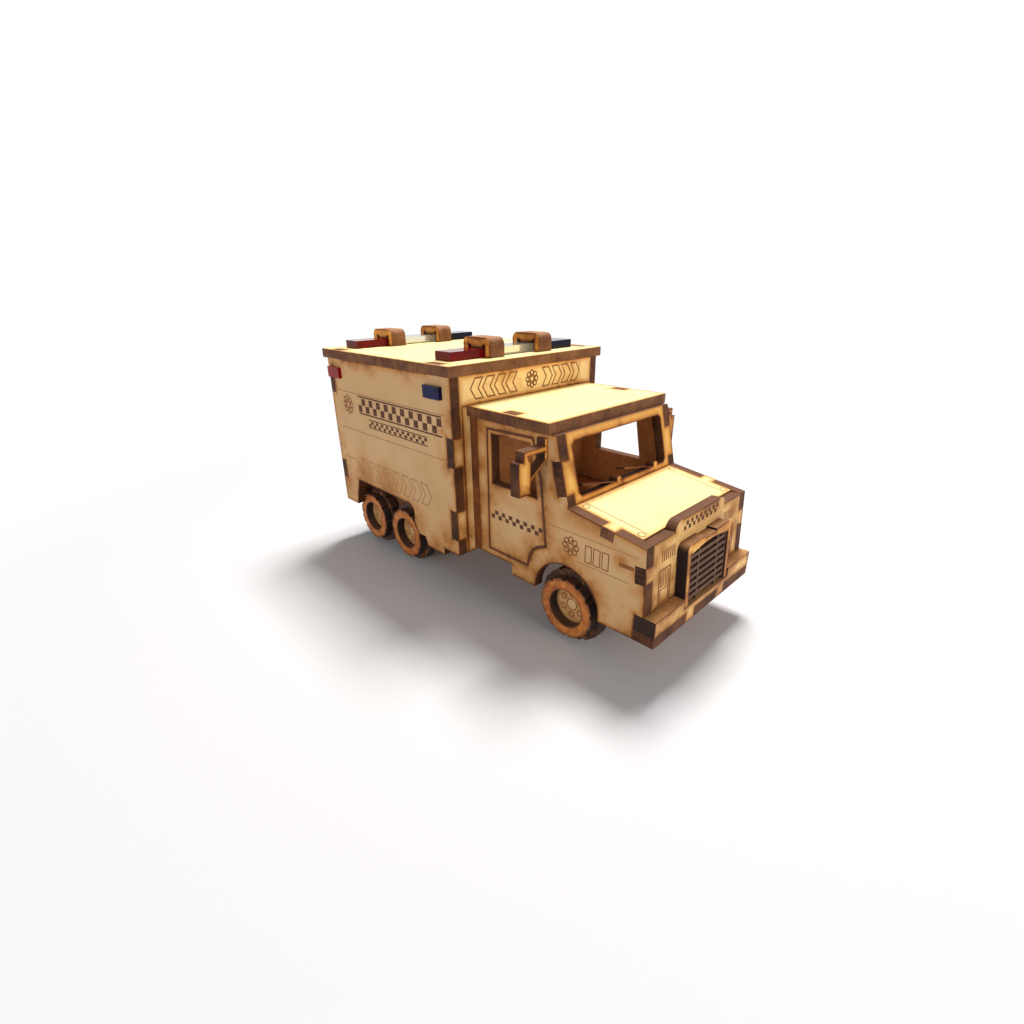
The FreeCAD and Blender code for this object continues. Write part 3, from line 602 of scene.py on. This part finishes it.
def wheel_wood(axle, layer, tone, rim):
    """A wheel layer with radius r about its axle: burnt by the falloff of rim - r, and of the
    distance of r from the window's radius, both broken up by clouds."""
    shades = hues(TONES, tone)
    t = new_tree("%s_wood_%s" % (layer, axle))
    place, normal = t.coordinates()
    on_face = abs(t.dot(normal, (0, 1, 0))) > FACE_SLOPE
    flat = t.vector("SUBTRACT", t.vector("MULTIPLY", place, (1, 0, 1)), tuple(AXLES[axle] * (1, 0, 1)))
    radius = t.vector("LENGTH", flat, output="Value")
    cloud, speck = t.noise(place, 330.0, 4.0, 0.65), t.noise(place, SPECK_SCALE, 1.0)
    wood = t.mix((3.4 * cloud - 1.2).clamped(), shades["deep"], shades["pale"])
    wood = t.mix((1.4 * speck - 0.5).clamped() * 0.4, wood, shades["amber"])
    # Soot and painted shade: beyond 7.6 mm the core goes dark brown, where it sits behind the ring inside the
    # arch.
    if layer == "core":
        soot_and_shade = t.mix((5.0 * cloud - 2.6).clamped(), colour(52, 30, 20), colour(176, 108, 50))
        wood = t.mix(radius > SOOT_AND_SHADE_RADIUS, wood, soot_and_shade)
    at_rim = (rim - radius).most(0.0).falloff(RIM_REACH) * (0.3 + 0.9 * cloud)
    at_window = abs(radius - WINDOW_RADIUS).falloff(WINDOW_REACH) * (0.3 + 0.8 * cloud)
    wood = t.mix(at_rim.most(at_window).clamped(), wood, shades["burn"])
    edge, streaks = charred(t, flat, place, normal, "black")
    return t.set(Base_Color=t.mix(on_face, edge, wood), Roughness=0.6 + 0.2 * speck,
                 Normal=t.bumps(speck * on_face + 2.0 * streaks * (1 - on_face)))


for axle, middle in AXLES.items():
    ring_wood = wheel_wood(axle, "ring", "ring", RING_RADIUS)
    core_wood = wheel_wood(axle, "core", "hub", CORE_RADIUS)
    for hand in ("right", "left"):
        paint("%s_wheel_ring_%s" % (axle, hand), ring_wood)
        paint("%s_wheel_core_%s" % (axle, hand), core_wood)
    print(axle, "axle at", middle.round(4))

# %% [markdown]
# Dowels, bearer plates and louvres are too narrow for a scorch to show. They are one brown all
# over, mottled by noise, with the same charred edges. A single flat colour would look like paint
# beside the grained panels.

# %% Dowels, bearers and louvres
LOUVRE_LEAN = (0.998, 0, 0.059)


def smoked_wood(name, axis, light, dark, char):
    """Wood mottled between two browns, with charred streaks on its cut edges. Axis is the sheet's
    direction, which the streaks' noise leaves out: place times 1 - |axis|."""
    t = new_tree(name)
    place, normal = t.coordinates()
    on_face = abs(t.dot(normal, axis)) > 0.8
    cloud = t.noise(place, 300.0, 3.0, 0.6)
    flat = t.vector("MULTIPLY", place, tuple(1 - abs(part) for part in axis))
    wood = t.mix((1.6 * cloud - 0.3).clamped(), colour(*dark), colour(*light))
    edge, streaks = charred(t, flat, place, normal, char)
    return t.set(Base_Color=t.mix(on_face, edge, wood), Roughness=0.62 + 0.2 * cloud, Normal=t.bumps(streaks))


for axle in AXLES:
    dowel_wood = smoked_wood("dowel_wood_" + axle, (0, 1, 0), (222, 186, 140), (200, 158, 108), "plain")
    paint(axle + "_axle_dowel", dowel_wood)
bearer_wood = smoked_wood("bearer_wood", (0, 1, 0), (124, 84, 50), (92, 58, 34), "black")
for node in ("front_axle_bearers", "rear_axle_bearers"):
    paint(node, bearer_wood)
paint("grille_louvres", smoked_wood("louvre_wood", LOUVRE_LEAN, (106, 70, 48), (68, 42, 29), "black"))
print("painted dowels, bearers and louvres")

# %% [markdown]
# The lamps are offcuts of acrylic sheet. Cast acrylic is glassy, its colour deepens with
# thickness, and its laser-cut sides are slightly frosted. Fully transparent plastic would hide the
# tint, so the coloured strips let through little light and the clear ones most of it.

# %% Acrylic lamps
def acrylic(name, dark, bright, transmission, gloss):
    """Tinted acrylic: cloudy between two depths of its colour, glossy above and frosted on its sides.
    Its top faces are a little brighter, a painted highlight.
    """
    t = new_tree(name)
    place, normal = t.coordinates()
    top = abs(t.dot(normal, (0, 0, 1))) > 0.8
    cloud, frost = t.noise(place, 160.0, 3.0), t.noise(place, 2600.0, 2.0)
    # Painted highlight: top faces lean a little towards the bright colour.
    shade = (2.0 * cloud - 0.6 + 0.25 * top).clamped()
    return t.set(Base_Color=t.mix(shade, colour(*dark), colour(*bright)),
                 Roughness=0.16 - 0.11 * top + 0.1 * frost * (1 - top),
                 Transmission_Weight=transmission, IOR=1.49, Specular_IOR_Level=gloss)


ACRYLIC = {"red": acrylic("acrylic_red", (74, 8, 12), (138, 20, 24), 0.15, 0.12),
           "blue": acrylic("acrylic_blue", (5, 6, 26), (18, 20, 70), 0.15, 0.12),
           "clear": acrylic("acrylic_clear", (246, 240, 220), (252, 249, 238), 0.8, 0.5)}
MARKERS = {"red": acrylic("marker_red", (132, 10, 8), (166, 16, 12), 0.1, 0.12),
           "blue": acrylic("marker_blue", (10, 12, 52), (20, 24, 88), 0.1, 0.12)}
for node in nodes:
    if "lamp" in node:
        kinds = MARKERS if "marker" in node else ACRYLIC
        paint(node, kinds[next(word for word in kinds if word in node)])
print("lamps in", ", ".join(ACRYLIC))

# %% [markdown]
# Engraving is a shallow burnt line. The shader could paint it, but a mark is easier to place, and
# stays sharp, as a thin stroke of burnt wood that lies on the panel. A stroke is a path with a
# width. Where the path turns, its two rims meet on the mitre, as the frame of a picture does.

# %% A stroke on a flat face
class Face:
    """A flat face to draw on: a point on it, and unit directions to the right, up and outwards."""

    def __init__(self, start, right, up):
        self.start = np.array(start, float)
        self.right = np.array(right, float) / np.linalg.norm(right)
        self.up = np.array(up, float) / np.linalg.norm(up)
        self.out = np.cross(self.right, self.up)

    def points(self, flat, height):
        """Places in space of flat points in mm, at a height in metres: start + u right + v up + h out."""
        flat = np.asarray(flat, float) * MM
        return self.start + flat[:, :1] * self.right + flat[:, 1:2] * self.up + height * self.out


def stroke(path, width, closed=False):
    """Left and right rims of a path in mm: each corner moves along its mitre m, the sum of the
    normals n before and after it, by m / (m n) times half the width."""
    path = np.asarray(path, float)
    ahead = np.roll(path, -1, axis=0) - path
    if not closed:
        ahead[-1] = ahead[-2]
    ahead /= np.linalg.norm(ahead, axis=1)[:, None]
    behind = np.roll(ahead, 1, axis=0)
    if not closed:
        behind[0] = ahead[0]
    normals = np.stack([-ahead[:, 1], ahead[:, 0]], axis=1)
    before = np.stack([-behind[:, 1], behind[:, 0]], axis=1)
    mitre = normals + before
    mitre /= np.maximum((mitre * normals).sum(axis=1), 0.5)[:, None]
    return path + mitre * width / 2, path - mitre * width / 2, closed


print("a 1 mm corner's left rim", stroke([(0, 0), (5, 0), (5, 5)], 1.0)[0].tolist())

# %% [markdown]
# All the strokes of one panel become one mesh, because hundreds of small objects would be slow to
# handle. Each stroke is a closed bar: a ring of four rims with a cap at each end, or none where the
# path closes on itself. It starts a little inside the wood, so that no gap shows under it, and
# rises a fortieth of a millimetre. The model's left side is the mirror image of its right.

# %% Strokes become a mesh
STROKE_RISE, STROKE_SINK = 0.025 * MM, 0.03 * MM
SIDES = {"right": False, "left": True}


def bar_faces(steps, closed):
    """Faces of a bar of four rims with so many steps: rim r has the points r steps to (r + 1) steps - 1,
    and each face joins two steps of one rim to the same steps of the next."""
    ring = np.arange(steps if closed else steps - 1)
    following = (ring + 1) % steps
    faces = []
    for rim in range(4):
        a, b = rim * steps, (rim + 1) % 4 * steps
        faces.append(np.stack([a + ring, b + ring, b + following, a + following], axis=1))
    if not closed:
        corners = np.arange(4) * steps
        faces.append(np.stack([corners[::-1], corners + steps - 1]))
    return np.concatenate(faces)


def draw(name, face, strokes, material, body="body", mirrored=False):
    """One mesh from many strokes. A mirrored copy has y negated and its faces turned over."""
    points, faces, count = [], [], 0
    for left, right, closed in strokes:
        faces.append(count + bar_faces(len(left), closed))
        points += [face.points(left, STROKE_RISE), face.points(right, STROKE_RISE),
                   face.points(right, -STROKE_SINK), face.points(left, -STROKE_SINK)]
        count += 4 * len(left)
    points, faces = np.concatenate(points), np.concatenate(faces)
    if mirrored:
        points, faces = points * (1, -1, 1), faces[:, ::-1]
    mesh = bpy.data.meshes.new(name)
    mesh.from_pydata(points.tolist(), [], faces.tolist())
    mesh.materials.append(material)
    made = into_scene(name, mesh)
    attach(made, body)
    print(name, len(strokes), "strokes,", len(faces), "faces")


# %% [markdown]
# The laser burns a filled mark dark, an outlined one less, and a faint panel seam hardly more than
# the wood. That makes three line materials, each mottled, because a real burn is never even.

# %% Three depths of burnt line
def burnt_line(name, light, dark):
    """Burnt wood in an engraved line, mottled between two browns."""
    t = new_tree(name)
    cloud = t.noise(t.coordinates()[0], 900.0, 3.0, 0.7)
    return t.set(Base_Color=t.mix((2.2 * cloud - 0.6).clamped(), colour(*dark), colour(*light)),
                 Roughness=0.75 + 0.1 * cloud)


DARK_LINE = burnt_line("dark_line", (98, 50, 24), (44, 22, 12))
MID_LINE = burnt_line("mid_line", (150, 94, 46), (100, 56, 26))
FAINT_LINE = burnt_line("faint_line", (172, 132, 84), (140, 100, 60))
print("lines", DARK_LINE.name, MID_LINE.name, FAINT_LINE.name)

# %% [markdown]
# Plain signal patterns are burnt into the panels, like the stripes on rescue vehicles. The first is
# a two-row chequer, filled by the upright lines that a laser rasters. It could be painted by the
# shader instead, but not so easily moved. Each pattern is a function of the band that it fills,
# from x0 to x1 and z0 to z1 in mm, so that it can be moved and sized to its panel.

# %% Frames, chequers and rails
HATCH_SHARE, HATCH_INSET = 0.9, 0.05


def frame_line(band, width):
    """The outline of a band."""
    x0, x1, z0, z1 = band
    return stroke([(x0, z0), (x1, z0), (x1, z1), (x0, z1)], width, True)


def chequer(band, columns, hatch):
    """Two rows of cells, every other one filled by upright hatch lines, as a laser rasters them."""
    x0, x1, z0, z1 = band
    cell, row = (x1 - x0) / columns, (z1 - z0) / 2
    marks = []
    for column in range(columns):
        low, high = z0 + row * (column % 2) + HATCH_INSET, z0 + row * (column % 2 + 1) - HATCH_INSET
        for line in range(hatch):
            x = x0 + cell * (column + (line + 0.5) / hatch)
            marks.append(stroke([(x, low), (x, high)], HATCH_SHARE * cell / hatch))
    return marks


def rails(band, gap, width):
    """A line below and a line above a band, at a gap from it."""
    x0, x1, z0, z1 = band
    return [stroke([(x0, z), (x1, z)], width) for z in (z0 - gap, z1 + gap)]


print("a chequer of 20 columns has", len(chequer((0, 10, 0, 2), 20, 4)), "hatch lines")

# %% [markdown]
# The other patterns are outlines only, since the laser draws an outline faster than it fills one:
# chevrons, bars, and a rosette of circles. A circle is a closed stroke through points spread evenly
# round it. Two dozen are enough at this size.

# %% Chevrons, bars and circles
PETALS = 8


def chevrons(band, count, width, lean):
    """Outlined arrowheads in a row, each 0.62 of its pitch wide. Lean is how far their tips are
    moved, to the right where it is positive."""
    x0, x1, z0, z1 = band
    pitch, middle = (x1 - x0 - abs(lean)) / count, (z0 + z1) / 2
    marks = []
    for n in range(count):
        near = x0 + n * pitch + max(-lean, 0)
        far = near + 0.62 * pitch
        marks.append(stroke([(near, z0), (near + lean, middle), (near, z1),
                             (far, z1), (far + lean, middle), (far, z0)], width, True))
    return marks


def bars(band, count, gap, width):
    """Outlined bars side by side, with a gap between them."""
    x0, x1, z0, z1 = band
    pitch = (x1 - x0 + gap) / count
    return [frame_line((x0 + n * pitch, x0 + (n + 1) * pitch - gap, z0, z1), width) for n in range(count)]


def around(count, start=0.0):
    """Angles of so many places spread evenly round a circle."""
    return np.arange(count) * 2 * math.pi / count + start


def ring(x, z, radius, width, steps=24):
    """A circle, as a closed stroke through evenly spread points."""
    turn = around(steps)
    return stroke(np.stack([x + radius * np.cos(turn), z + radius * np.sin(turn)], axis=1), width, True)


def rosette(x, z, radius, width):
    """A circle of small circles round a middle one."""
    out = 0.68 * radius
    petals = [ring(x + out * math.cos(turn), z + out * math.sin(turn), radius * 0.24, width, 14)
              for turn in around(PETALS)]
    return [ring(x, z, radius * 0.3, width)] + petals


print("a rosette has", len(rosette(0, 0, 1, 0.1)), "circles")

# %% [markdown]
# The box sides carry the largest marks: two chequers between rails, a faint row of chevrons over
# the wheels, a rosette, and three hairline seams that divide the side as body panels would.

# %% Marks on both box sides
BOX_BAND, BOX_SMALL_BAND = (-54, -5, 53.1, 58.1), (-48, -13, 48.5, 50.7)
BOX_CHEVRON_BAND = (-57, -11, 27.4, 34.8)
BOX_SEAMS = [[(-69.8, 59.3), (-3.2, 59.3)], [(-69.8, 45.4), (-3.2, 45.4)],
             [(-69.8, 33.5), (-61, 33.5), (-59, 32.4), (-57.6, 30.2)]]


def side_face(node):
    """The outer face of a panel on the right side, with lengths from the datum."""
    return Face(DATUM * MM + (0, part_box(node)[0].y, 0), (1, 0, 0), (0, 0, 1))


box_face = side_face("box_side_right")
box_lines = [stroke(seam, 0.3) for seam in BOX_SEAMS] + chevrons(BOX_CHEVRON_BAND, 8, 0.4, 2.2)
box_dark = chequer(BOX_BAND, 20, 4) + rails(BOX_BAND, 0.5, 0.5)
box_dark += chequer(BOX_SMALL_BAND, 22, 3) + rails(BOX_SMALL_BAND, 0.3, 0.35)
for side, mirrored in SIDES.items():
    draw("box_lines_" + side, box_face, box_lines, FAINT_LINE, mirrored=mirrored)
    draw("box_chequer_" + side, box_face, box_dark, DARK_LINE, mirrored=mirrored)
    draw("box_rosette_" + side, box_face, rosette(-61.5, 54.6, 3.7, 0.45), MID_LINE, mirrored=mirrored)

# %% [markdown]
# On the cab the door is the deepest line, with a chequer across it. Beside it are a rosette and
# three bars, two hairline seams, and a short burnt slot near the nose.

# %% Marks on both cab sides
DOOR_WIDTH, CAB_SEAM_WIDTH = 0.6, 0.22
DOOR_BAND, BAR_BAND = (8.6, 29.8, 28.6, 31.4), (45.0, 52.4, 26.8, 31.6)
CAB_SEAMS = [[(31.6, 33.7), (61.0, 33.7)], [(42.6, 25.9), (58.6, 25.9)]]
NOSE_SLOT = [(55.5, 30.25), (60.0, 30.25)]

cab_face = side_face("cab_side_right")
cab_seams = [stroke(seam, CAB_SEAM_WIDTH) for seam in CAB_SEAMS]
door_marks = [stroke(DOOR, DOOR_WIDTH, True)] + chequer(DOOR_BAND, 14, 3)
cab_marks = rosette(40.0, 29.6, 3.0, 0.35) + bars(BAR_BAND, 3, 0.7, 0.3) + [stroke(NOSE_SLOT, 1.1)]
for side, mirrored in SIDES.items():
    draw("cab_seams_" + side, cab_face, cab_seams, FAINT_LINE, mirrored=mirrored)
    draw("door_line_" + side, cab_face, door_marks, DARK_LINE, mirrored=mirrored)
    draw("cab_marks_" + side, cab_face, cab_marks, MID_LINE, mirrored=mirrored)

# %% [markdown]
# The wall above the cab has chevrons that point outwards from a rosette. Hood and nose slope, so
# the face to draw on is worked out from the panel's own mesh: its direction is the sheet's, and it
# lies as far out as the outermost point. A typed angle would be off by a hair, and a stroke a
# fortieth of a millimetre high would sink in or float.

# %% Marks on the front wall and the hood
HEADER_BAND, HEADER_LEAN = (5.0, 26.0, 63.4, 69.4), 1.9
MIRRORED_BAND = (-26.0, -5.0, 63.4, 69.4)
HOOD_LINE_X, RIVET_X = 20.3, 21.9


def face_of(node, start, outward):
    """The sloping face of a panel. The start, in mm, is lifted onto the outermost plane of the
    sheet's direction n: start + n (highest p n - start n) over the panel's points p."""
    faces = triangles(node)
    normal = sheet_direction(faces)
    normal = normal * np.sign(normal @ outward)
    start = np.array(start) * MM
    start = start + normal * ((faces.reshape(-1, 3) @ normal).max() - start @ normal)
    print(node, "looks to", normal.round(3))
    return Face(start, (0, 1, 0), np.cross(normal, (0, 1, 0)))


front_face = Face(DATUM * MM, (0, 1, 0), (0, 0, 1))
header = chevrons(HEADER_BAND, 4, 0.45, HEADER_LEAN) + chevrons(MIRRORED_BAND, 4, 0.45, -HEADER_LEAN)
draw("header_chevrons", front_face, header + rosette(0, 66.4, 3.0, 0.45), MID_LINE)
hood_face = face_of("hood_panel", DATUM + (38.8, 0, 40.3), (0, 0, 1))
hood_marks = [stroke([(x, -1.0), (x, -20.6)], 0.35) for x in (-HOOD_LINE_X, HOOD_LINE_X)]
hood_marks += [ring(x, z, 0.95, 0.3, 16) for x in (-RIVET_X, RIVET_X) for z in (-2.2, -19.6)]
draw("hood_marks", hood_face, hood_marks, FAINT_LINE)

# %% [markdown]
# The nose has a label on its crown, and on each side a row of vent lines over a headlight. The
# headlight is a frame round two glasses, the upper one hatched.

# %% Marks on the nose
LABEL_BAND = (-9.4, 9.4, -1.1, 1.4)
HEADLIGHT_X, HEADLIGHT_HALF, GLASS_HALF = 17.8, 2.6, 1.9
VENT_X, VENT_PITCH, VENTS = 13.6, 0.95, 7


def headlight(x):
    """Marks of a headlight about a middle x: its border, the upper glass and its hatch, the lower glass."""
    border = frame_line((x - HEADLIGHT_HALF, x + HEADLIGHT_HALF, -18.4, -8.4), 0.5)
    upper, lower = (frame_line((x - GLASS_HALF, x + GLASS_HALF, *heights), 0.3)
                    for heights in ((-13.0, -9.2), (-17.6, -13.9)))
    hatch = [stroke([(x + offset, -12.6), (x + offset, -9.6)], 0.4) for offset in (-1.2, -0.4, 0.4, 1.2)]
    return [border, upper, *hatch, lower]


nose_face = face_of("nose_panel", DATUM + (62.8, 0, 36.9), (1, 0, 0))
nose_marks = []
for side in (-1, 1):
    vents = [side * (VENT_X + n * VENT_PITCH) for n in range(VENTS)]
    nose_marks += [stroke([(x, -6.2), (x, -3.0)], 0.45) for x in vents] + headlight(side * HEADLIGHT_X)
draw("nose_marks", nose_face, nose_marks, MID_LINE)
draw("nose_label", nose_face, chequer(LABEL_BAND, 16, 3), DARK_LINE)

# %% [markdown]
# Each wheel's core shows through the window of its outer ring, with a small circle for every wheel
# nut and one round the dowel's end. They ride on the axle's body, so that they turn with it. On the
# body of the vehicle they would stay behind when a wheel is turned.

# %% Wheel nuts
NUT_CIRCLE, FIRST_NUT = 3.4, 0.5

nuts = [ring(NUT_CIRCLE * math.cos(turn), NUT_CIRCLE * math.sin(turn), 0.85, 0.35, 14)
        for turn in around(6, FIRST_NUT)]
nuts.append(ring(0, 0, 1.75, 0.3, 20))
for axle, middle in AXLES.items():
    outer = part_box("%s_wheel_core_right" % axle)[0].y
    core_face = Face((middle[0], outer, middle[2]), (1, 0, 0), (0, 0, 1))
    for side, mirrored in SIDES.items():
        draw("%s_wheel_nuts_%s" % (axle, side), core_face, nuts, MID_LINE,
             axle + "_axle", mirrored)

# %% [markdown]
# The floor is a wide plain disc. Near the model it is lit and holds the shadow. Further out it
# turns to plain white, so that no horizon shows. That white is an emission of strength 1 which only
# the camera, glossy surfaces and clear plastic see. More light would whiten the floor as well, but
# it would bleach the wood with it.

# %% Floor
FLOOR_RADIUS = 3.0
LIT_RADIUS, FADE = 0.11, 0.14


def seen_directly(t):
    """1 for a ray from the camera, off a glossy surface or through clear plastic, and 0 for others."""
    rays = ("Is Camera Ray", "Is Glossy Ray", "Is Transmission Ray")
    camera_ray, glossy, through = (t.node("ShaderNodeLightPath", {}, {}, ray) for ray in rays)
    return camera_ray.most(glossy).most(through)


turn = around(96)
rim = np.stack([FLOOR_RADIUS * np.cos(turn), FLOOR_RADIUS * np.sin(turn), 0 * turn], axis=1)
floor_mesh = bpy.data.meshes.new("floor")
floor_mesh.from_pydata(rim.tolist(), [], [list(range(len(rim)))])
into_scene("floor", floor_mesh)
t = new_tree("floor")
reach = t.vector("LENGTH", t.coordinates()[0], output="Value")
white = (1 - (reach - LIT_RADIUS).most(0.0).falloff(FADE)) * seen_directly(t)
floor_mesh.materials.append(t.set(Base_Color=colour(220, 221, 226), Roughness=0.9))
glow = t.node("ShaderNodeEmission", {}, {"Color": (1, 1, 1, 1), "Strength": 1.0})
mixed = t.node("ShaderNodeMixShader", {}, {0: white, 1: Number(t, t.shader.outputs[0]), 2: glow})
t.put(t.tree.nodes["Material Output"].inputs["Surface"], mixed)
print("floor of", FLOOR_RADIUS, "m, white from", round(LIT_RADIUS + FADE, 2), "m")

# %% [markdown]
# The world is white where it is seen, and five times weaker where it only lights the model. A
# studio photograph does the same with a lit backdrop that stands far behind the object.

# %% World
AMBIENT = 0.2

world = bpy.data.worlds.new("studio")
sky = Tree(world)
sky.set(Color=(1.0, 1.0, 1.0, 1.0), Strength=AMBIENT + (1 - AMBIENT) * seen_directly(sky))
bpy.context.scene.world = world
bpy.context.scene.view_settings.view_transform = "Standard"
print("world lights the model at", AMBIENT)

# %% [markdown]
# The marks are so thin that the dressed model must be as large as the CAD model.
